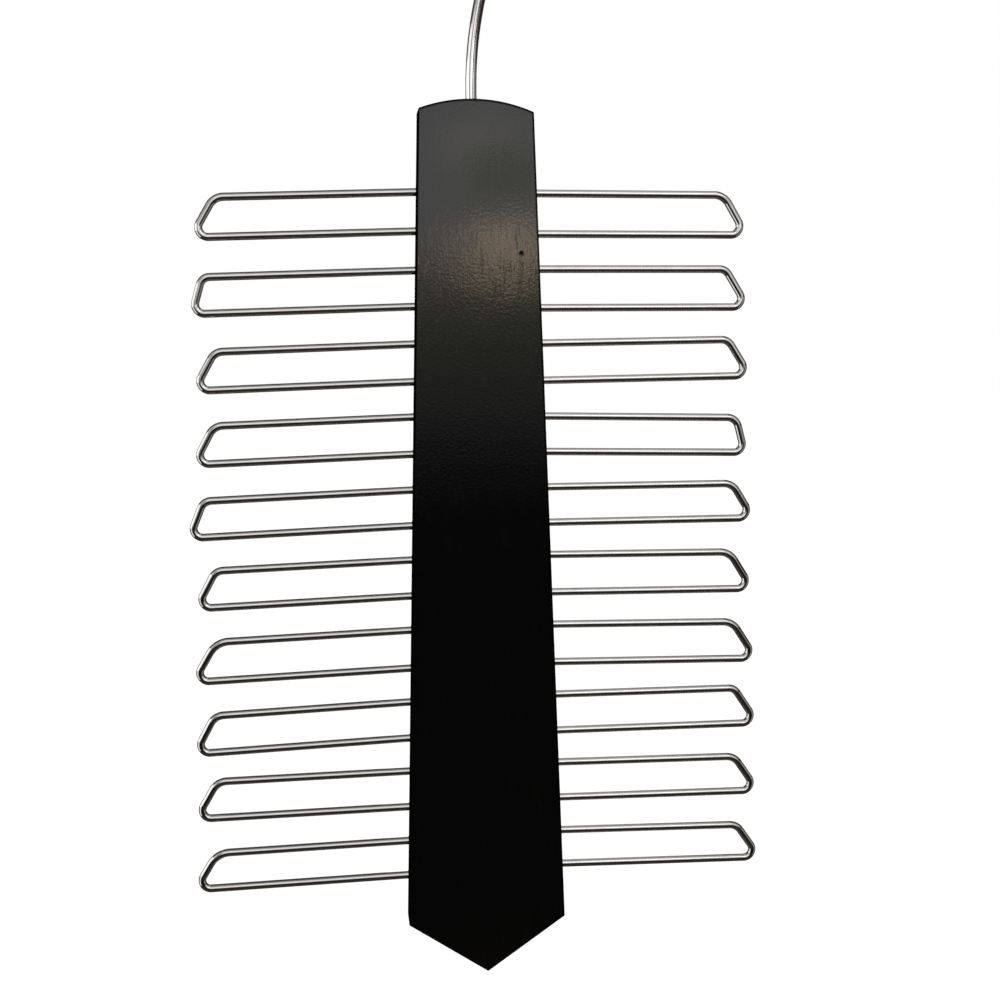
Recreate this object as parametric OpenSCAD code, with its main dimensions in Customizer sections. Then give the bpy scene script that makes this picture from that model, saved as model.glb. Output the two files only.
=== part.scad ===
// Tie hanger: a tie-shaped board on a turning hook, with a row of wire loops down each side.
// The origin is where the hook rests on its rail. +Z is up and the front of the board faces -Y.

/* [Board] */
// Length of the board from the top of its crown to its point
board_len = 351; // [340:1:450]
// Width across the two top corners
board_top_w = 44.5; // [40:0.5:60]
// Width across the two shoulders above the point
board_bottom_w = 64.5; // [50:0.5:90]
// Thickness of the board
board_t = 12; // [11:0.5:20]
// Height that the crown rises above the top corners
crown_rise = 4.2; // [2:0.1:8]
// Distance of the crown's highest point to the left of the board's centre line
crown_shift = 1.5; // [0:0.1:3]
// Height of the point below the shoulders
point_len = 22; // [14:0.5:28]
// Radius that softens every edge of the board
edge_r = 0.6; // [0.4:0.1:2]
// Radius that softens the five corners of the outline
corner_r = 0.8; // [0.6:0.1:4]

/* [Loops] */
// Number of loops down each side
loops_per_side = 10; // [4:1:10]
// Thickness of the loop wire
wire_d = 3.1; // [2:0.1:4]
// Distance from the top of the crown down to the middle of the first loop
first_loop = 42.5; // [38:0.5:48]
// Distance from the middle of the last loop down to the shoulders
last_loop = 27.5; // [20:0.5:36]
// Height of a loop between the middles of its two legs
loop_gap = 14.9; // [14.2:0.1:18]
// Distance that each loop stands out from the side of the board
loop_reach = 84.5; // [50:0.5:110]
// Slant of the end of a loop away from upright, in degrees
end_slant = 32; // [20:1:34]
// Bend radius of the upper corner of a loop, to the middle of the wire
upper_bend_r = 6; // [4.5:0.1:7]
// Bend radius of the lower corner of a loop, to the middle of the wire
lower_bend_r = 3.5; // [2.5:0.1:4]
// Angle by which a loop hangs below level, in degrees
droop = 1; // [0:0.1:2]
// Depth of the hole that holds each leg
leg_depth = 12; // [8:0.5:14]

/* [Hook] */
// Thickness of the hook wire
hook_d = 4.3; // [3:0.1:5]
// Inside diameter of the crook, where the rail goes
crook_inside_d = 38; // [34:0.5:46]
// Angle that the crook turns through, in degrees
crook_sweep = 245; // [220:1:260]
// Lean of the crook's lower end away from upright, in degrees
crook_lean = 50; // [40:1:60]
// Straight length of the shank above the crown
shank_rise = 4; // [2:0.5:12]
// Bend radius of the neck above the shank, to the middle of the wire
neck_bend_r = 150; // [110:1:160]
// Angle that the neck leans by before the crook's shoulder, in degrees
neck_lean = 15; // [10:1:18]
// Length of the straight stretches on each side of the shoulder
shoulder_straight = 2; // [1:0.5:3]
// Length of the straight stretch at the tip
tip_straight = 2; // [1:0.5:6]
// Distance of the shank to the left of the board's centre line
shank_offset = 1.4; // [0:0.1:2]

/* [Swivel] */
// Length of the bush that the hook turns in
bush_len = 18; // [10:0.5:22]
// Wall of the bush
bush_wall = 1.4; // [1.2:0.1:2]
// Depth of the bush below the top of the crown
bush_recess = 0.4; // [0.3:0.1:1]
// Width of the lip of the head that keeps the hook in the bush
head_lip = 1; // [0.6:0.1:1]
// Height of that head
head_h = 2; // [1:0.1:4]

/* [Hidden] */
// Running clearance between the shank and the bush
swivel_gap = 0.06;
// Clearance round a leg or the bush, filled with glue
glue_gap = 0.05;
// Clearance above the head, which hangs against the bush
head_gap = 0.05;
// Free space round and below the head
pocket_gap = 0.2;
// Overshoot of a cutting tool past the face that it opens
cut_past = 5;
// A bend is this much fuller than the straight runs, which reach the lap's length into it
bend_fullness = 0.01;
lap = 0.15;
// Flats that make up the crown, each corner and each rounded edge
crown_steps = 18;
corner_steps = 5;
edge_steps = 5;
$fn = 64;

// The loops are bent and set by hand, so each differs a little from the sizes above. From the top
// down, these are its changes of slant and droop, in degrees, and of reach, height, gap and upper
// bend radius.
left_bends = [
    [0, 0.4, 0.3, 0.6, 0, 0.5],
    [-14, 0.4, 1.7, -0.1, -1, -2],
    [-1, 0.5, 0, -0.2, -0.2, -0.5],
    [-2, 0.5, 0.3, 0, -0.2, 0],
    [-8, 0.6, 3, 0, -0.6, -1.5],
    [-2, 0.4, -0.1, 0.5, -0.3, -1],
    [0, 0.4, 1, 0.2, 0.7, 3],
    [-2, 0.6, 0.9, -0.3, 0.1, 0],
    [-1, -0.7, 0.3, -0.4, 0.1, 0.5],
    [0, -0.4, 0.6, -0.8, -0.3, 3]
];
right_bends = [
    [-1, -0.6, -0.6, -0.2, 0.7, 1],
    [0, -0.7, -0.6, -0.4, 0.2, -1.5],
    [0, -1.4, -0.4, -0.4, -0.2, -1],
    [-16, 0.5, -1.2, -0.3, -0.7, -1],
    [0, -0.6, -0.1, -0.1, -0.5, 0.5],
    [1, 0, -1.1, 0.6, 0.5, 1.5],
    [2, 0.4, -0.1, 0.5, 0.7, 1.5],
    [2, -0.4, -0.2, 0.2, 0.3, -1.5],
    [3, 0.1, -0.7, 0.3, 0.1, 0.5],
    [4, 0.6, -0.5, 0.2, -0.4, 0]
];

wire_r = wire_d / 2;
hook_r = hook_d / 2;
crook_r = crook_inside_d / 2 + hook_r;

// The neck and the shoulder carry the wire from the shank out to the side of the crook
neck_out = neck_bend_r * (1 - cos(neck_lean)) - shank_offset;
neck_up = neck_bend_r * sin(neck_lean);
straights_out = shoulder_straight * (sin(neck_lean) + sin(crook_lean));
straights_up = shoulder_straight * (cos(neck_lean) + cos(crook_lean));
shoulder_bend_r = (crook_r * cos(crook_lean) - neck_out - straights_out)
    / (cos(neck_lean) - cos(crook_lean));
shoulder_up = shoulder_bend_r * (sin(crook_lean) - sin(neck_lean)) + straights_up;
crook_centre_z = -crook_inside_d / 2;

// Heights from the rail down to the board
crown_z = crook_centre_z - crook_r * sin(crook_lean) - shoulder_up - neck_up - shank_rise;
top_corner_z = crown_z - crown_rise;
tip_z = crown_z - board_len;
shoulder_z = tip_z + point_len;
first_loop_z = crown_z - first_loop;
loop_pitch = (first_loop_z - shoulder_z - last_loop) / (loops_per_side - 1);
top_half_w = board_top_w / 2;
bottom_half_w = board_bottom_w / 2;

// Bush, head and their bores
bush_bore_r = hook_r + swivel_gap;
bush_r = bush_bore_r + bush_wall;
bush_top_z = crown_z - bush_recess;
bush_foot_z = bush_top_z - bush_len;
head_r = hook_r + head_lip;
head_foot_z = bush_foot_z - head_gap - head_h;

// The outline's normals, as angles clockwise from straight up
crown_r = (top_half_w * top_half_w + crown_rise * crown_rise) / (2 * crown_rise);
side_angle = 90 - atan((bottom_half_w - top_half_w) / (top_corner_z - shoulder_z));
point_angle = 90 + atan(bottom_half_w / point_len);

function direction(angle) = [sin(angle), cos(angle)];

// Half the width of the board at height z
function half_width(z) = top_half_w
    + (bottom_half_w - top_half_w) * (top_corner_z - z) / (top_corner_z - shoulder_z);

function bends(side, i) = (side > 0 ? right_bends : left_bends)[i - 1];
function gap(side, i) = loop_gap + bends(side, i)[4];

// Centre of a round corner of radius r where straight edges with normals a and b meet at p
function corner_centre(p, a, b, r) =
    p - r * (direction(a) + direction(b)) / (1 + direction(a) * direction(b));

// Centre of a round corner of radius r where the right side meets a crown that is centred at middle
function top_corner_centre(middle, r) =
    let (
        side_point = [top_half_w, top_corner_z] - middle,
        across = side_point * direction(side_angle) - r,
        along = sqrt(pow(crown_r - r, 2) - across * across)
    )
    middle + across * direction(side_angle) + along * direction(side_angle - 90);

function arc(centre, r, from, to, steps) =
    [for (k = [0 : steps]) centre + r * direction(from + (to - from) * k / steps)];

// The right side of the outline from the top of the crown to the point, drawn inset inside full
// size, with the top of the crown shifted to the right
function right_half(inset, shift) =
    let (
        middle = [shift, crown_z - crown_r],
        top = top_corner_centre(middle, corner_r),
        crown_end = atan((top - middle)[0] / (top - middle)[1]),
        shoulder = corner_centre([bottom_half_w, shoulder_z], side_angle, point_angle, corner_r),
        tip = corner_centre([0, tip_z], point_angle, 360 - point_angle, corner_r),
        r = corner_r - inset
    )
    concat(
        arc(middle, crown_r - inset, 0, crown_end, crown_steps),
        arc(top, r, crown_end, side_angle, corner_steps),
        arc(shoulder, r, side_angle, point_angle, corner_steps),
        arc(tip, r, point_angle, 180, corner_steps)
    );

function mirrored(points) = [for (k = [len(points) - 1 : -1 : 0]) [-points[k][0], points[k][1]]];

// The board's solid body with every edge rounded
module board_blank() {
    hull()
        for (k = [0 : edge_steps]) {
            a = 90 * k / edge_steps;
            inset = edge_r * (1 - sin(a));
            right = right_half(inset, -crown_shift);
            left = mirrored(right_half(inset, crown_shift));
            rotate([90, 0, 0])
                linear_extrude(height = board_t - 2 * edge_r * (1 - cos(a)), center = true)
                    polygon(concat(right, left));
        }
}

// A straight run of wire along +X that laps past both its ends, with what follows placed at its end
module run(r, length) {
    translate([-lap, 0, 0]) rotate([0, 90, 0]) cylinder(r = r, h = length + 2 * lap);
    translate([length, 0, 0]) children();
}

// A bend of wire that turns down from +X, with what follows placed at its end
module bend(r, bend_r, angle) {
    translate([0, 0, -bend_r])
        rotate([90, 0, 0])
            rotate([0, 0, 90 - angle])
                rotate_extrude(angle = angle)
                    translate([bend_r, 0]) circle(r = r + bend_fullness);
    translate([bend_r * sin(angle), 0, -bend_r * (1 - cos(angle))]) rotate([0, angle, 0]) children();
}

// A straight run of wire along +X that laps past its start and has a round tip
module tip(r, length) {
    translate([-lap, 0, 0])
        rotate([0, 90, 0])
            rotate_extrude() {
                square([r, length + lap]);
                translate([0, length + lap])
                    intersection() {
                        circle(r = r);
                        square(r);
                    }
            }
}

// Places its children at the side of the board, with +X pointing out along the loop
module at_loop(side, i) {
    z = first_loop_z - (i - 1) * loop_pitch + bends(side, i)[3];
    rotate([0, 0, side > 0 ? 0 : 180])
        translate([half_width(z), 0, z])
            rotate([0, droop + bends(side, i)[1], 0])
                children();
}

// One piece of wire: in at the upper hole, round the slanted end and back to the lower hole
module loop(side, i) {
    turn = 90 - end_slant - bends(side, i)[0];
    reach = loop_reach + bends(side, i)[2];
    upper_r = upper_bend_r + bends(side, i)[5];
    bends_drop = upper_r * (1 - cos(turn)) + lower_bend_r * (1 + cos(turn));
    end_len = (gap(side, i) - bends_drop) / sin(turn);
    lower_len = reach - wire_r - lower_bend_r;
    upper_len = lower_len - (upper_r - lower_bend_r) * sin(turn) - end_len * cos(turn);
    held = leg_depth - lap;
    color("silver")
        at_loop(side, i)
            translate([-held, 0, gap(side, i) / 2])
                run(wire_r, held + upper_len)
                    bend(wire_r, upper_r, turn)
                        run(wire_r, end_len)
                            bend(wire_r, lower_bend_r, 180 - turn)
                                run(wire_r, held + lower_len);
}

// The two holes that take the legs of one loop
module leg_holes(side, i) {
    at_loop(side, i)
        for (level = [-1, 1])
            translate([-leg_depth - glue_gap, 0, level * gap(side, i) / 2])
                run(wire_r + glue_gap, leg_depth + cut_past);
}

// The bore that takes the bush from above, with a narrower pocket for the head below it
module swivel_bore() {
    translate([-shank_offset, 0, bush_foot_z])
        cylinder(r = bush_r + glue_gap, h = bush_len + cut_past);
    translate([-shank_offset, 0, head_foot_z - pocket_gap])
        cylinder(r = head_r + pocket_gap, h = head_h + head_gap + pocket_gap + cut_past);
}

module board() {
    color([0.09, 0.085, 0.08])
        difference() {
            board_blank();
            swivel_bore();
            for (side = [-1, 1])
                for (i = [1 : loops_per_side])
                    leg_holes(side, i);
        }
}

module hook_bush() {
    color("gray")
        translate([-shank_offset, 0, bush_foot_z])
            difference() {
                cylinder(r = bush_r, h = bush_len);
                translate([0, 0, -cut_past]) cylinder(r = bush_bore_r, h = bush_len + 2 * cut_past);
            }
}

// One piece of wire from its headed foot, up the shank and neck and round the crook
module hook() {
    shank_foot_z = head_foot_z + head_h / 2;
    color("silver")
        translate([-shank_offset, 0, 0]) {
            translate([0, 0, head_foot_z]) cylinder(r = head_r, h = head_h);
            translate([0, 0, shank_foot_z])
                rotate([0, -90, 0])
                    run(hook_r, crown_z + shank_rise - shank_foot_z)
                        bend(hook_r, neck_bend_r, neck_lean)
                            run(hook_r, shoulder_straight)
                                bend(hook_r, shoulder_bend_r, crook_lean - neck_lean)
                                    run(hook_r, shoulder_straight)
                                        rotate([180, 0, 0])
                                            bend(hook_r, crook_r, crook_sweep)
                                                tip(hook_r, tip_straight);
        }
}

hook();
hook_bush();
board();
for (i = [1 : loops_per_side]) {
    loop(-1, i);
    loop(1, i);
}
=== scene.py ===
"""A tie hanger: a black lacquered board, twenty chromed wire loops and a hook that turns.

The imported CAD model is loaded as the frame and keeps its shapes. This script gives each of its
parts its finish, adds the lacquer that has set round each leg of wire, and builds the studio.
"""

import logging
import math
from dataclasses import dataclass
from enum import Enum

import bpy
from mathutils import Euler, Matrix, Vector


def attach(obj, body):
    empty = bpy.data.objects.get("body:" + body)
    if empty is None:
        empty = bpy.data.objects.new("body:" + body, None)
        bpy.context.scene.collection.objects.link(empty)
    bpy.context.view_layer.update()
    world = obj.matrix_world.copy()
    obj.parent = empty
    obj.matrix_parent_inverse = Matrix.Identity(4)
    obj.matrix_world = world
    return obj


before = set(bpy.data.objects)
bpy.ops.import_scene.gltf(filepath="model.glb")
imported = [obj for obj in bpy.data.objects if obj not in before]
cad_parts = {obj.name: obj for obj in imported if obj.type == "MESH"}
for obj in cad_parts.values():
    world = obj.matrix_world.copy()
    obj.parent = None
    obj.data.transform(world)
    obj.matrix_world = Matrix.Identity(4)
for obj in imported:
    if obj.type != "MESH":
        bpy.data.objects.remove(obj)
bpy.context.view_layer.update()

LOG = logging.getLogger("tie_hanger")
MM = 0.001
BROWN = "#2e2823"
Place = tuple[float, float, float]
Stops = tuple[tuple[float, str | float], ...]


class Side(Enum):
    """A side of the board, with the sign of X on that side."""

    LEFT = -1
    RIGHT = 1


class Slot(Enum):
    """The record's material slots."""

    LACQUER = "black_lacquer"
    CHROME = "chrome"
    STEEL = "bush_steel"


class Stand(Enum):
    """How a card lies flat, or stands across or along the room: its turns in degrees."""

    LEVEL = (0, 0, 0)
    ACROSS = (90, 0, 0)
    ALONG = (0, 90, 0)


class Edge(Enum):
    """How a studio card ends."""

    HARD = "cut straight"
    ROUND = "a disc with a soft rim"
    GLOW = "a disc that adds its light to what is behind it and fades to nothing"


def linear(code: str) -> tuple[float, float, float, float]:
    """Turns an sRGB hex colour into the linear colour that a shader takes.

    Args:
        code: Six hex digits, with or without a leading hash.

    Returns:
        Linear red, green, blue and an alpha of 1.
    """
    digits = code.lstrip("#")
    parts = [int(digits[k : k + 2], 16) / 255 for k in (0, 2, 4)]
    red, green, blue = (
        c / 12.92 if c <= 0.04045 else ((c + 0.055) / 1.055) ** 2.4 for c in parts
    )
    return red, green, blue, 1.0


def add_node(
    tree: bpy.types.NodeTree, kind: str, inputs: dict | None = None, **settings: object
) -> bpy.types.Node:
    """Adds one shader node.

    Args:
        tree: The node tree that gets the node.
        kind: The node's Blender type name.
        inputs: Input name or number to a value, or to the output socket that feeds it.
        settings: The node's own settings, by name.

    Returns:
        The new node.
    """
    node = tree.nodes.new(kind)
    for name, value in settings.items():
        setattr(node, name, value)
    for key, value in (inputs or {}).items():
        if isinstance(value, bpy.types.NodeSocket):
            tree.links.new(value, node.inputs[key])
        else:
            node.inputs[key].default_value = value
    return node


def set_ramp(node: bpy.types.Node, stops: Stops) -> None:
    """Sets the stops of a colour ramp node.

    Args:
        node: The colour ramp node.
        stops: Position and hex colour or grey level of each stop, in order.
    """
    elements = node.color_ramp.elements
    while len(elements) > 1:
        elements.remove(elements[-1])
    for k, (place, tone) in enumerate(stops):
        element = elements[0] if k == 0 else elements.new(place)
        element.position = place
        element.color = linear(tone) if isinstance(tone, str) else (tone, tone, tone, 1.0)


def new_tree(name: str) -> tuple[bpy.types.Material, bpy.types.NodeTree]:
    """Makes an empty node material.

    Args:
        name: The material's name.

    Returns:
        The material and its cleared node tree.
    """
    material = bpy.data.materials.new(name)
    material.use_nodes = True
    material.node_tree.nodes.clear()
    return material, material.node_tree


@dataclass(frozen=True)
class LacqueredWood:
    """Black sprayed lacquer over close-grained wood, with the grain telegraphing through.

    The film gives a soft mirror image, broken by orange peel, and hardly any colour of its own.
    Painted shade: the coat is cut to a trace on the edges and in a band inside the crown and
    sides, and the pit has none, so they mirror next to nothing and look black.
    """

    name: str = "black_sprayed_lacquer_on_wood"
    film: str = "#040404"
    thin_film: str = "#0b0a08"
    coat_ior: float = 1.62
    coat_roughness: float = 0.05
    film_roughness: tuple[float, float] = (0.34, 0.5)
    # The trace of coat left on an edge and in the shade bands, painted shade that makes them
    # black, and how square to the front a place is where the coat starts and is full
    shaded_edge_coat: float = 0.03
    edge_turn: tuple[float, float] = (0.92, 0.998)
    # Width of the band of painted shade, with only a trace of coat, inside the crown's arc and
    # inside each side
    crown_shade_band: float = 1.15 * MM
    left_shade_band: float = 0.3 * MM
    right_shade_band: float = 1.1 * MM
    # The outline in the CAD: the crown's arc, which ends above crown_foot, and the sides' lines
    crown_middle: Place = (-1.5 * MM, 0.0, -154.57 * MM)
    crown_radius: float = 61.03 * MM
    crown_foot: float = -120 * MM
    side_slope: float = 0.030788
    side_at_rail: float = 19.241 * MM
    # The wood's pores are about 0.2 mm wide, and are drawn coarser so that they show
    grain_width: float = 0.9 * MM
    grain_length: float = 9 * MM
    pore_tones: Stops = ((0.28, 0.0), (0.42, 0.9), (0.7, 1.0))
    peel: float = 1.2 * MM
    peel_depth: float = 0.045 * MM
    wave: float = 26 * MM
    wave_depth: float = 0.05 * MM
    # How the relief changes down the board, in shares of relief_reach below the top
    top: float = -93.5 * MM
    relief_reach: float = 150 * MM
    peel_strength: Stops = (
        (0.2, 0.4), (0.31, 0.5), (0.37, 0.72), (0.42, 0.74), (0.5, 0.62), (0.58, 0.6), (0.75, 0.9),
    )
    grain_from: tuple[float, float] = (0.26, 0.33)
    grain_strength: tuple[float, float] = (0.25, 0.8)
    pit_place: Place = (16.8 * MM, -6.0 * MM, -152.0 * MM)
    pit_radius: float = 1.25 * MM

    def past_crown(
        self, tree: bpy.types.NodeTree, where: bpy.types.NodeSocket
    ) -> bpy.types.NodeSocket:
        """How far a place on the board's face is past the crown's arc.

        Args:
            tree: The lacquer's node tree.
            where: The place.

        Returns:
            A distance in metres, less than 0 on the board.
        """
        flat = add_node(
            tree, "ShaderNodeVectorMath", {0: where, 1: (1, 0, 1)}, operation="MULTIPLY"
        ).outputs["Vector"]
        out = add_node(
            tree, "ShaderNodeVectorMath", {0: flat, 1: self.crown_middle}, operation="DISTANCE"
        ).outputs["Value"]
        height = add_node(tree, "ShaderNodeSeparateXYZ", {"Vector": where}).outputs["Z"]
        past = add_node(
            tree, "ShaderNodeMath", {0: out, 1: self.crown_radius}, operation="SUBTRACT"
        ).outputs["Value"]
        above = add_node(
            tree,
            "ShaderNodeMapRange",
            {
                "Value": height,
                "From Min": self.crown_middle[2],
                "From Max": self.crown_foot,
                "To Min": -1.0,
                "To Max": 0.0,
            },
        ).outputs["Result"]
        return add_node(
            tree, "ShaderNodeMath", {0: past, 1: above}, operation="ADD"
        ).outputs["Value"]

    def past_side(
        self, tree: bpy.types.NodeTree, where: bpy.types.NodeSocket, side: Side
    ) -> bpy.types.NodeSocket:
        """How far a place on the board's face is past one side's line.

        Args:
            tree: The lacquer's node tree.
            where: The place.
            side: The side of the board.

        Returns:
            A distance in metres, less than 0 on the board.
        """
        across = add_node(
            tree,
            "ShaderNodeVectorMath",
            {0: where, 1: (side.value, 0.0, self.side_slope)},
            operation="DOT_PRODUCT",
        ).outputs["Value"]
        return add_node(
            tree, "ShaderNodeMath", {0: across, 1: self.side_at_rail}, operation="SUBTRACT"
        ).outputs["Value"]

    def material(self) -> bpy.types.Material:
        """Builds the lacquer.

        Returns:
            The material, patterned on Object coordinates.
        """
        material, tree = new_tree(self.name)
        where = add_node(tree, "ShaderNodeTexCoord").outputs["Object"]
        stretched = add_node(
            tree,
            "ShaderNodeMapping",
            {
                "Vector": where,
                "Scale": (1 / self.grain_width, 1 / self.grain_width, 1 / self.grain_length),
            },
        ).outputs["Vector"]
        grain = add_node(
            tree,
            "ShaderNodeTexNoise",
            {"Vector": stretched, "Scale": 1.0, "Detail": 3.0, "Roughness": 0.55},
        ).outputs["Fac"]
        pores = add_node(tree, "ShaderNodeValToRGB", {"Fac": grain})
        set_ramp(pores, self.pore_tones)
        peel = add_node(
            tree,
            "ShaderNodeTexNoise",
            {"Vector": where, "Scale": 1 / self.peel, "Detail": 3.0, "Roughness": 0.55},
        ).outputs["Fac"]
        wave = add_node(
            tree,
            "ShaderNodeTexNoise",
            {"Vector": where, "Scale": 1 / self.wave, "Detail": 1.0},
        ).outputs["Fac"]
        from_pit = add_node(
            tree,
            "ShaderNodeVectorMath",
            {0: where, 1: self.pit_place},
            operation="DISTANCE",
        ).outputs["Value"]
        pit = add_node(
            tree,
            "ShaderNodeMapRange",
            {"Value": from_pit, "From Min": 0.0, "From Max": self.pit_radius},
            interpolation_type="SMOOTHSTEP",
        ).outputs["Result"]
        normal = add_node(
            tree,
            "ShaderNodeBump",
            {"Height": wave, "Strength": 1.0, "Distance": self.wave_depth},
        ).outputs["Normal"]
        height = add_node(tree, "ShaderNodeSeparateXYZ", {"Vector": where}).outputs["Z"]
        below_top = add_node(
            tree,
            "ShaderNodeMapRange",
            {"Value": height, "From Min": self.top, "From Max": self.top - self.relief_reach},
        ).outputs["Result"]
        peel_relief = add_node(tree, "ShaderNodeValToRGB", {"Fac": below_top})
        set_ramp(peel_relief, self.peel_strength)
        grain_relief = add_node(
            tree,
            "ShaderNodeMapRange",
            {
                "Value": below_top,
                "From Min": self.grain_from[0],
                "From Max": self.grain_from[1],
                "To Min": self.grain_strength[0],
                "To Max": self.grain_strength[1],
            },
        ).outputs["Result"]
        for relief, depth, strength in (
            (pores.outputs["Color"], 0.5 * self.peel_depth, grain_relief),
            (peel, self.peel_depth, peel_relief.outputs["Color"]),
            (pit, 2 * self.peel_depth, 1.0),
        ):
            normal = add_node(
                tree,
                "ShaderNodeBump",
                {"Height": relief, "Strength": strength, "Distance": depth, "Normal": normal},
            ).outputs["Normal"]
        rub = add_node(
            tree,
            "ShaderNodeMapRange",
            {"Value": wave, "To Min": self.film_roughness[0], "To Max": self.film_roughness[1]},
        )
        facing = add_node(
            tree,
            "ShaderNodeSeparateXYZ",
            {"Vector": add_node(tree, "ShaderNodeTexCoord").outputs["Normal"]},
        ).outputs["Y"]
        flat = add_node(tree, "ShaderNodeMath", {0: facing}, operation="ABSOLUTE").outputs["Value"]
        # Edges that turn away from the front keep only a trace of coat: painted shade that makes
        # them black
        coat = add_node(
            tree,
            "ShaderNodeMapRange",
            {
                "Value": flat,
                "From Min": self.edge_turn[0],
                "From Max": self.edge_turn[1],
                "To Min": self.shaded_edge_coat,
                "To Max": 1.0,
            },
        ).outputs["Result"]
        # A band inside the crown's arc and each side keeps only a trace of coat: painted shade
        # along the outline
        for reach, shade_band_width in (
            (self.past_crown(tree, where), self.crown_shade_band),
            (self.past_side(tree, where, Side.LEFT), self.left_shade_band),
            (self.past_side(tree, where, Side.RIGHT), self.right_shade_band),
        ):
            coat_kept_outside_shade = add_node(
                tree,
                "ShaderNodeMapRange",
                {
                    "Value": reach,
                    "From Min": -shade_band_width,
                    "From Max": -shade_band_width / 2,
                    "To Min": 1.0,
                    "To Max": self.shaded_edge_coat,
                },
            ).outputs["Result"]
            coat = add_node(
                tree, "ShaderNodeMath", {0: coat, 1: coat_kept_outside_shade}, operation="MULTIPLY"
            ).outputs["Value"]
        coat = add_node(
            tree, "ShaderNodeMath", {0: coat, 1: pit}, operation="MULTIPLY"
        ).outputs["Value"]
        colour = add_node(
            tree,
            "ShaderNodeMix",
            {0: pores.outputs["Color"], 6: linear(self.thin_film), 7: linear(self.film)},
            data_type="RGBA",
        ).outputs[2]
        shader = add_node(
            tree,
            "ShaderNodeBsdfPrincipled",
            {
                "Base Color": colour,
                "Roughness": rub.outputs["Result"],
                "Specular IOR Level": 0.0,
                "Coat Weight": coat,
                "Coat Roughness": self.coat_roughness,
                "Coat IOR": self.coat_ior,
                "Normal": normal,
                "Coat Normal": normal,
            },
        )
        add_node(tree, "ShaderNodeOutputMaterial", {"Surface": shader.outputs["BSDF"]})
        return material


@dataclass(frozen=True)
class ChromedWire:
    """Bright decorative chrome over drawn steel wire.

    The drawing leaves slow ripples under the plating, so reflections run along the wire in
    lines that swell and thin.
    """

    name: str = "bright_chrome_on_drawn_wire"
    metal: str = "#e4e4e3"
    dull: str = "#cfcdca"
    roughness: tuple[float, float] = (0.05, 0.09)
    ripple: float = 9 * MM
    ripple_depth: float = 0.02 * MM
    speck: float = 5 * MM

    def material(self) -> bpy.types.Material:
        """Builds the chrome.

        Returns:
            The material, patterned on Object coordinates.
        """
        material, tree = new_tree(self.name)
        where = add_node(tree, "ShaderNodeTexCoord").outputs["Object"]
        ripple = add_node(
            tree,
            "ShaderNodeTexNoise",
            {"Vector": where, "Scale": 1 / self.ripple, "Detail": 1.0},
        ).outputs["Fac"]
        specks = add_node(
            tree,
            "ShaderNodeTexNoise",
            {"Vector": where, "Scale": 1 / self.speck, "Detail": 2.0},
        ).outputs["Fac"]
        tint = add_node(
            tree,
            "ShaderNodeMix",
            {0: specks, 6: linear(self.dull), 7: linear(self.metal)},
            data_type="RGBA",
        ).outputs[2]
        rub = add_node(
            tree,
            "ShaderNodeMapRange",
            {"Value": specks, "To Min": self.roughness[1], "To Max": self.roughness[0]},
        ).outputs["Result"]
        normal = add_node(
            tree,
            "ShaderNodeBump",
            {"Height": ripple, "Strength": 1.0, "Distance": self.ripple_depth},
        ).outputs["Normal"]
        shader = add_node(
            tree,
            "ShaderNodeBsdfPrincipled",
            {"Base Color": tint, "Metallic": 1.0, "Roughness": rub, "Normal": normal},
        )
        add_node(tree, "ShaderNodeOutputMaterial", {"Surface": shader.outputs["BSDF"]})
        return material


@dataclass(frozen=True)
class TurnedSteel:
    """Plain steel of the bush, turned on a lathe, with fine rings and a dull shine."""

    name: str = "turned_steel"
    metal: str = "#a8a6a2"
    roughness: tuple[float, float] = (0.28, 0.4)
    # A lathe's marks are about 0.1 mm apart, and are drawn coarser so that they show
    groove: float = 0.5 * MM
    groove_depth: float = 0.01 * MM
    axis_x: float = -1.4 * MM

    def material(self) -> bpy.types.Material:
        """Builds the steel.

        Returns:
            The material, with its rings round the bush's own axis.
        """
        material, tree = new_tree(self.name)
        where = add_node(tree, "ShaderNodeTexCoord").outputs["Object"]
        centred = add_node(
            tree, "ShaderNodeMapping", {"Vector": where, "Location": (-self.axis_x, 0, 0)}
        ).outputs["Vector"]
        rings = add_node(
            tree,
            "ShaderNodeTexWave",
            {"Vector": centred, "Scale": 1 / (20 * self.groove), "Distortion": 0.4},
            wave_type="RINGS",
            rings_direction="Z",
        ).outputs["Fac"]
        rub = add_node(
            tree,
            "ShaderNodeMapRange",
            {"Value": rings, "To Min": self.roughness[0], "To Max": self.roughness[1]},
        )
        normal = add_node(
            tree,
            "ShaderNodeBump",
            {"Height": rings, "Strength": 0.5, "Distance": self.groove_depth},
        ).outputs["Normal"]
        shader = add_node(
            tree,
            "ShaderNodeBsdfPrincipled",
            {
                "Base Color": linear(self.metal),
                "Metallic": 1.0,
                "Roughness": rub.outputs["Result"],
                "Normal": normal,
            },
        )
        add_node(tree, "ShaderNodeOutputMaterial", {"Surface": shader.outputs["BSDF"]})
        return material


def dress(node: str, material: bpy.types.Material) -> None:
    """Gives a CAD node its finish, through its own material slots.

    Args:
        node: The CAD node's name.
        material: The finish.
    """
    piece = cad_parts[node]
    for material_slot in piece.material_slots:
        material_slot.material = material


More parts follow.
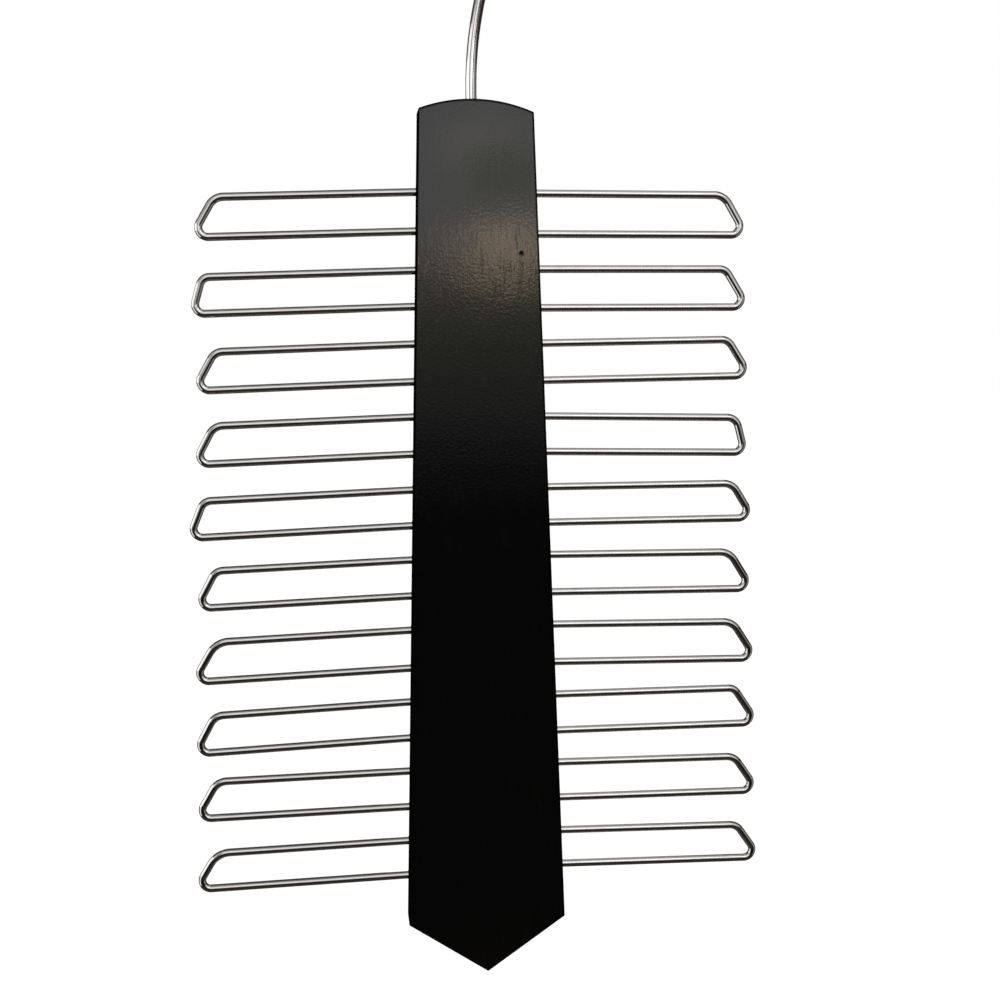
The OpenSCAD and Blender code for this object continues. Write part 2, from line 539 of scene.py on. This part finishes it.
@dataclass
class Board:
    """The tapered board, seen from the front, with its outline's sizes from the CAD."""

    finish: LacqueredWood = LacqueredWood()
    node: str = "board"
    top_half_width: float = 22.25 * MM
    foot_half_width: float = 32.25 * MM
    top_corner: float = -97.739 * MM
    shoulder: float = -422.539 * MM

    def half_width(self, height: float) -> float:
        """Half the board's width at a height."""
        share = (self.top_corner - height) / (self.top_corner - self.shoulder)
        return self.top_half_width + (self.foot_half_width - self.top_half_width) * share

    def build(self) -> bpy.types.Material:
        """Dresses the board.

        Returns:
            The lacquer, for the pieces that share it.
        """
        lacquer = self.finish.material()
        dress(self.node, lacquer)
        LOG.info("board lacquered")
        return lacquer


@dataclass(frozen=True)
class Setting:
    """How one loop was set by hand: its changes of droop in degrees, height and gap in mm."""

    droop: float
    height: float = 0.0
    gap: float = 0.0


@dataclass
class LoopRack:
    """The loops on both sides, and the lacquer set round their legs where they enter the board."""

    board: Board
    finish: ChromedWire = ChromedWire()
    per_side: int = 10
    first: float = -136.039 * MM
    pitch: float = 28.7778 * MM
    gap: float = 14.9 * MM
    droop: float = 1.0
    left: tuple[Setting, ...] = (
        Setting(0.4, 0.6), Setting(0.4, -0.1, -1), Setting(0.5, -0.2, -0.2), Setting(0.5, 0, -0.2),
        Setting(0.6, 0, -0.6), Setting(0.4, 0.5, -0.3), Setting(0.4, 0.2, 0.7),
        Setting(0.6, -0.3, 0.1), Setting(-0.7, -0.4, 0.1), Setting(-0.4, -0.8, -0.3),
    )
    right: tuple[Setting, ...] = (
        Setting(-0.6, -0.2, 0.7), Setting(-0.7, -0.4, 0.2), Setting(-1.4, -0.4, -0.2),
        Setting(0.5, -0.3, -0.7), Setting(-0.6, -0.1, -0.5), Setting(0, 0.6, 0.5),
        Setting(0.4, 0.5, 0.7), Setting(-0.4, 0.2, 0.3), Setting(0.1, 0.3, 0.1),
        Setting(0.6, 0.2, -0.4),
    )
    # A ring of lacquer, with each step of its flank as shares of its height and of its width left
    wire_radius: float = 1.55 * MM
    wire_gap: float = 0.01 * MM
    ring_radius: float = 2.0 * MM
    ring_height: float = 0.35 * MM
    ring_sink: float = 0.35 * MM
    ring_faces: int = 28
    flank: tuple[tuple[float, float], ...] = ((0.18, 0.82), (0.3, 0.74), (0.52, 0.0))

    def setting(self, side: Side, number: int) -> Setting:
        """How a loop of one side was set, by its number from the top, from 1."""
        return (self.left if side is Side.LEFT else self.right)[number - 1]

    def place(self, side: Side, number: int) -> Matrix:
        """Where a loop leaves the board.

        Args:
            side: The side of the board.
            number: The loop's number from the top, from 1.

        Returns:
            A matrix with X out along the loop and Z up across it.
        """
        setting = self.setting(side, number)
        height = self.first - (number - 1) * self.pitch + setting.height * MM
        turn = Matrix.Rotation(0 if side is Side.RIGHT else math.pi, 4, "Z")
        out = Matrix.Translation((self.board.half_width(height), 0, height))
        tilt = Matrix.Rotation(math.radians(self.droop + setting.droop), 4, "Y")
        return turn @ out @ tilt

    def entry(self, side: Side, number: int, level: float) -> Matrix:
        """Where one leg of a loop enters the board's side.

        Args:
            side: The side of the board.
            number: The loop's number from the top, from 1.
            level: 0.5 for the upper leg and -0.5 for the lower one.

        Returns:
            A matrix with its origin on the leg's middle line, flush with the board's side.
        """
        out = 0.0
        rise = level * (self.gap + self.setting(side, number).gap * MM)
        for _ in range(3):
            leg = self.place(side, number) @ Matrix.Translation((out, 0, rise))
            out += self.board.half_width(leg.translation.z) - abs(leg.translation.x)
        return leg

    def lacquer_ring(self) -> bpy.types.Object:
        """Models one fillet of lacquer, at the origin, with the wire along X.

        Returns:
            The ring, a hollow cone with a drawn-in flank.
        """
        inner = self.wire_radius + self.wire_gap
        bpy.ops.object.select_all(action="DESELECT")
        bpy.ops.mesh.primitive_circle_add(
            vertices=self.ring_faces,
            radius=self.ring_radius,
            location=(-self.ring_sink, 0, 0),
            rotation=(0, math.pi / 2, 0),
        )
        ring = bpy.context.object
        bpy.ops.object.transform_apply(location=True, rotation=True, scale=True)
        bpy.ops.object.mode_set(mode="EDIT")
        bpy.ops.mesh.select_all(action="SELECT")
        radius = self.ring_radius
        steps = [(self.ring_sink, 1.0)]
        steps += [(share * self.ring_height, left) for share, left in self.flank]
        for rise, left in steps:
            target = inner + (self.ring_radius - inner) * left
            bpy.ops.mesh.extrude_edges_move(TRANSFORM_OT_translate={"value": (rise, 0, 0)})
            scale = target / radius
            bpy.ops.transform.resize(value=(1, scale, scale), center_override=(0, 0, 0))
            radius = target
        bpy.ops.mesh.extrude_edges_move(
            TRANSFORM_OT_translate={"value": (-self.ring_sink - self.ring_height, 0, 0)}
        )
        bpy.ops.mesh.select_all(action="SELECT")
        bpy.ops.mesh.normals_make_consistent(inside=False)
        bpy.ops.object.mode_set(mode="OBJECT")
        return ring

    def build(self, lacquer: bpy.types.Material) -> None:
        """Dresses the loops and sets the lacquer rings round their legs.

        Args:
            lacquer: The board's finish.
        """
        chrome = self.finish.material()
        ring = self.lacquer_ring()
        for side in Side:
            for number in range(1, self.per_side + 1):
                node = f"{side.name.lower()}_loop_{number}"
                dress(node, chrome)
                for leg, level in (("upper", 0.5), ("lower", -0.5)):
                    copy = ring.copy()
                    copy.data = ring.data.copy()
                    copy.name = copy.data.name = f"{node}_{leg}_lacquer_ring"
                    bpy.context.scene.collection.objects.link(copy)
                    copy.data.transform(self.entry(side, number, level))
                    copy.data.materials.append(lacquer)
                    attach(copy, "rack")
                LOG.info("%s dressed, with its two lacquer rings", node)
        bpy.data.objects.remove(ring)


@dataclass
class SwivelHook:
    """The chromed hook and the steel bush that it turns in."""

    # The same chrome as the loops, painted lighter so that the hook's highlights show pure white:
    # a painted highlight
    chrome: ChromedWire = ChromedWire(
        name="bright_chrome_on_hook_wire", metal="#f8f8f7", dull="#ecebe9"
    )
    steel: TurnedSteel = TurnedSteel()

    def build(self) -> None:
        """Dresses the hook and its bush."""
        dress("hook", self.chrome.material())
        dress("hook_bush", self.steel.material())
        LOG.info("hook and bush dressed")


@dataclass(frozen=True)
class Card:
    """A plain card that stands in the studio, to be mirrored in the wires and the lacquer.

    Its tones run along its own Y, from 0 at one end to 1 at the other.
    """

    name: str
    centre: Place
    size: tuple[float, float]
    stand: Stand
    tones: Stops
    edge: Edge = Edge.HARD
    rim: float = 0.0
    strength: float = 1.0

    def paint(self) -> bpy.types.Material:
        """Makes the card's paint.

        Returns:
            A material that shows its tones as they are, whatever light falls on it.
        """
        material, tree = new_tree(f"{self.name}_paint")
        place = add_node(tree, "ShaderNodeTexCoord").outputs["Object"]
        along = add_node(tree, "ShaderNodeSeparateXYZ", {"Vector": place}).outputs["Y"]
        share = add_node(
            tree, "ShaderNodeMapRange", {"Value": along, "From Min": -0.5, "From Max": 0.5}
        ).outputs["Result"]
        ramp = add_node(tree, "ShaderNodeValToRGB", {"Fac": share})
        set_ramp(ramp, self.tones)
        glow = add_node(
            tree,
            "ShaderNodeEmission",
            {"Color": ramp.outputs["Color"], "Strength": self.strength},
        )
        surface = glow.outputs["Emission"]
        if self.edge is not Edge.HARD:
            clear = add_node(tree, "ShaderNodeBsdfTransparent").outputs["BSDF"]
            out = add_node(
                tree, "ShaderNodeVectorMath", {0: place}, operation="LENGTH"
            ).outputs["Value"]
            cover = add_node(
                tree,
                "ShaderNodeMapRange",
                {
                    "Value": out,
                    "From Min": 0.5 * (1 - self.rim),
                    "From Max": 0.5,
                    "To Min": 1.0,
                    "To Max": 0.0,
                },
                interpolation_type="SMOOTHSTEP",
            ).outputs["Result"]
            if self.edge is Edge.GLOW:
                cover = add_node(
                    tree, "ShaderNodeMath", {0: cover, 1: self.strength}, operation="MULTIPLY"
                ).outputs["Value"]
            if self.edge is Edge.ROUND:
                surface = add_node(
                    tree, "ShaderNodeMixShader", {0: cover, 1: clear, 2: surface}
                ).outputs["Shader"]
            else:
                tree.links.new(cover, glow.inputs["Strength"])
                surface = add_node(
                    tree, "ShaderNodeAddShader", {0: surface, 1: clear}
                ).outputs["Shader"]
        add_node(tree, "ShaderNodeOutputMaterial", {"Surface": surface})
        return material

    def build(self) -> None:
        """Stands the card up and lets only mirroring rays see it."""
        bpy.ops.object.select_all(action="DESELECT")
        bpy.ops.mesh.primitive_plane_add(
            size=1, location=self.centre, rotation=[math.radians(a) for a in self.stand.value]
        )
        card = bpy.context.object
        card.name = self.name
        card.scale = (*self.size, 1)
        card.data.materials.append(self.paint())
        card.visible_camera = card.visible_diffuse = card.visible_shadow = False
        card.visible_transmission = card.visible_volume_scatter = False


@dataclass
class Studio:
    """White surroundings, a pale floor, a soft lamp, cards for the shine, and the camera."""

    floor_height: float = -1.7
    floor_size: float = 60.0
    floor_paint: str = "#f2f2f2"
    floor_lift: float = 0.35
    backdrop: str = "#ffffff"
    room_light: float = 0.8
    camera_place: Place = (-54.291 * MM, -518.557 * MM, -185.909 * MM)
    camera_turn: Place = (83.123, 0.694, -6.926)
    lens: float = 47.214
    sensor: float = 36.0
    cards: tuple[Card, ...] = (
        Card(
            "room_shade", (0.4, -1.25, -0.875), (4.0, 1.65), Stand.ACROSS,
            (
                (0.0, "#3a332c"), (0.38, "#38322c"), (0.42, 0.01), (0.74, 0.011), (0.782, 0.021),
                (0.798, 0.032), (0.815, 0.055), (0.831, 0.09), (0.848, 0.135), (0.865, 0.19),
                (0.898, "#888a80"), (0.915, "#8f9286"), (0.932, "#9c9e90"), (0.949, "#bab4a4"),
                (0.966, "#cdc6b5"), (0.982, "#efe9db"), (1.0, 1.0),
            ),
        ),
        Card(
            "floor_shade", (0.4, 0.725, -1.69), (4.0, 3.95), Stand.LEVEL,
            ((0.0, "#3a332c"), (0.5, "#3f3933"), (1.0, "#4c4844")),
        ),
        Card(
            "ceiling", (0.0, 1.7, 1.0), (5.0, 5.4), Stand.LEVEL,
            ((0.0, 0.4), (0.16, 0.3), (0.21, 0.07), (1.0, 0.05)),
        ),
        Card(
            "left_shade", (-1.4, 2.8, -0.71), (1.98, 5.6), Stand.ALONG,
            ((0.0, "#5a5856"), (1.0, "#3c3a38")),
        ),
        Card(
            "right_shade", (1.5, 0.8, -0.35), (2.7, 4.0), Stand.ALONG,
            ((0.0, "#9a9896"), (0.3, "#8a8682"), (0.4, "#34302c"), (1.0, "#34302c")),
        ),
        Card(
            "front_upright", (-0.9, -1.24, 0.3), (0.55, 0.9), Stand.ACROSS,
            ((0.0, 0.12), (1.0, 0.12)),
        ),
        Card(
            "front_brown", (0.975, -1.2, 0.14), (1.05, 0.085), Stand.ACROSS,
            ((0.0, BROWN), (1.0, BROWN)),
        ),
        Card(
            "right_brown", (1.45, -0.1, 0.04), (0.18, 2.2), Stand.ALONG,
            ((0.0, BROWN), (1.0, BROWN)),
        ),
        Card(
            "neck_brown", (0.46, -1.2, 0.26), (0.8, 0.15), Stand.ACROSS,
            ((0.0, BROWN), (1.0, BROWN)),
        ),
        Card(
            "left_white", (-1.39, -0.28, 0.0), (0.66, 1.84), Stand.ALONG,
            ((0.0, 1.0), (1.0, 1.0)), strength=1.4,
        ),
        Card(
            "left_grey", (-1.39, -0.3, 0.79), (0.18, 1.8), Stand.ALONG,
            ((0.0, 0.35), (1.0, 0.3)),
        ),
        Card(
            "left_upper_shade", (-1.4, 2.6, 0.64), (0.7, 4.5), Stand.ALONG,
            ((0.0, 0.05), (1.0, 0.04)),
        ),
        Card(
            "right_ceiling", (0.36, 1.7, 0.99), (0.44, 5.4), Stand.LEVEL,
            ((0.0, 0.7), (0.16, 0.6), (0.21, 0.38), (1.0, 0.3)),
        ),
        Card(
            "back_upright", (-0.25, 2.0, -0.6), (0.5, 1.9), Stand.ACROSS,
            ((0.0, 0.01), (1.0, 0.01)),
        ),
        Card(
            "warm_glow", (0.165, -1.2, -0.07), (0.205, 0.128), Stand.ACROSS,
            ((0.0, "#ffdcb0"), (1.0, "#ffdcb0")), Edge.GLOW, rim=0.9, strength=2.4,
        ),
        Card(
            "upper_glow", (0.135, -1.2, 0.062), (0.22, 0.15), Stand.ACROSS,
            ((0.0, "#fff4e6"), (1.0, "#fff4e6")), Edge.GLOW, rim=0.9, strength=0.42,
        ),
        Card(
            "grey_disc", (0.158, -1.19, 0.024), (0.1, 0.088), Stand.ACROSS,
            ((0.0, "#f2f5e4"), (1.0, "#f2f5e4")), Edge.ROUND, rim=0.12,
        ),
    )

    def surroundings(self) -> None:
        """Sets a white world that the camera and mirroring rays see at full strength."""
        world = bpy.data.worlds.new("white_surroundings")
        bpy.context.scene.world = world
        world.use_nodes = True
        tree = world.node_tree
        tree.nodes.clear()
        ray = add_node(tree, "ShaderNodeLightPath").outputs
        seen = ray["Is Camera Ray"]
        for kind in ("Is Glossy Ray", "Is Transmission Ray"):
            seen = add_node(
                tree, "ShaderNodeMath", {0: seen, 1: ray[kind]}, operation="MAXIMUM"
            ).outputs["Value"]
        strength = add_node(
            tree, "ShaderNodeMapRange", {"Value": seen, "To Min": self.room_light, "To Max": 1.0}
        ).outputs["Result"]
        light = add_node(
            tree, "ShaderNodeBackground", {"Color": linear(self.backdrop), "Strength": strength}
        )
        add_node(tree, "ShaderNodeOutputWorld", {"Surface": light.outputs["Background"]})

    def floor(self) -> None:
        """Lays a pale floor far below, which meets the white surroundings and keeps a shadow."""
        bpy.ops.object.select_all(action="DESELECT")
        bpy.ops.mesh.primitive_plane_add(size=self.floor_size, location=(0, 0, self.floor_height))
        floor = bpy.context.object
        floor.name = "pale_floor"
        material, tree = new_tree("pale_floor_paint")
        matt = add_node(tree, "ShaderNodeBsdfDiffuse", {"Color": linear(self.floor_paint)})
        ray = add_node(tree, "ShaderNodeLightPath").outputs
        seen = add_node(
            tree,
            "ShaderNodeMath",
            {0: ray["Is Camera Ray"], 1: ray["Is Glossy Ray"]},
            operation="MAXIMUM",
        ).outputs["Value"]
        lift = add_node(
            tree,
            "ShaderNodeEmission",
            {"Color": linear(self.backdrop), "Strength": self.floor_lift},
        )
        none = add_node(tree, "ShaderNodeEmission", {"Strength": 0.0})
        lifted = add_node(
            tree,
            "ShaderNodeMixShader",
            {0: seen, 1: none.outputs["Emission"], 2: lift.outputs["Emission"]},
        )
        both = add_node(
            tree, "ShaderNodeAddShader", {0: matt.outputs["BSDF"], 1: lifted.outputs["Shader"]}
        )
        add_node(tree, "ShaderNodeOutputMaterial", {"Surface": both.outputs["Shader"]})
        floor.data.materials.append(material)

    def lamp(
        self, name: str, place: Place, aim: Place, size: float, radiance: float, tone: str
    ) -> None:
        """Hangs one soft square lamp.

        Args:
            name: The lamp's name.
            place: Where it hangs, in metres.
            aim: The point that it faces.
            size: The length of its side, in metres.
            radiance: How bright its face is, where white paper in plain light is about 1.
            tone: The colour of its light.
        """
        data = bpy.data.lights.new(name, "AREA")
        data.size = size
        data.energy = radiance * math.pi * size * size
        data.color = linear(tone)[:3]
        lamp = bpy.data.objects.new(name, data)
        bpy.context.scene.collection.objects.link(lamp)
        lamp.location = place
        lamp.rotation_mode = "QUATERNION"
        lamp.rotation_quaternion = (Vector(aim) - Vector(place)).to_track_quat("-Z", "Y")

    def camera(self) -> None:
        """Stands the camera where the photograph was taken from."""
        data = bpy.data.cameras.new("camera")
        data.lens, data.sensor_width = self.lens, self.sensor
        camera = bpy.data.objects.new("camera", data)
        camera.location = self.camera_place
        camera.rotation_euler = Euler([math.radians(a) for a in self.camera_turn])
        bpy.context.scene.collection.objects.link(camera)
        bpy.context.scene.camera = camera

    def build(self) -> None:
        """Builds the whole studio."""
        self.surroundings()
        self.floor()
        for card in self.cards:
            card.build()
        self.lamp(
            "soft_key",
            place=(0.55, -1.5, 0.55),
            aim=(0, 0, -0.25),
            size=0.7,
            radiance=1.2,
            tone="#ffffff",
        )
        self.camera()
        bpy.context.scene.view_settings.view_transform = "Standard"
        LOG.info("studio built with %d cards", len(self.cards))


def main() -> None:
    """Builds the hanger and its studio."""
    logging.basicConfig(level=logging.INFO, format="%(name)s: %(message)s")
    board = Board()
    lacquer = board.build()
    LoopRack(board).build(lacquer)
    SwivelHook().build()
    Studio().build()
    bpy.context.view_layer.update()


if __name__ == "__main__":
    main()
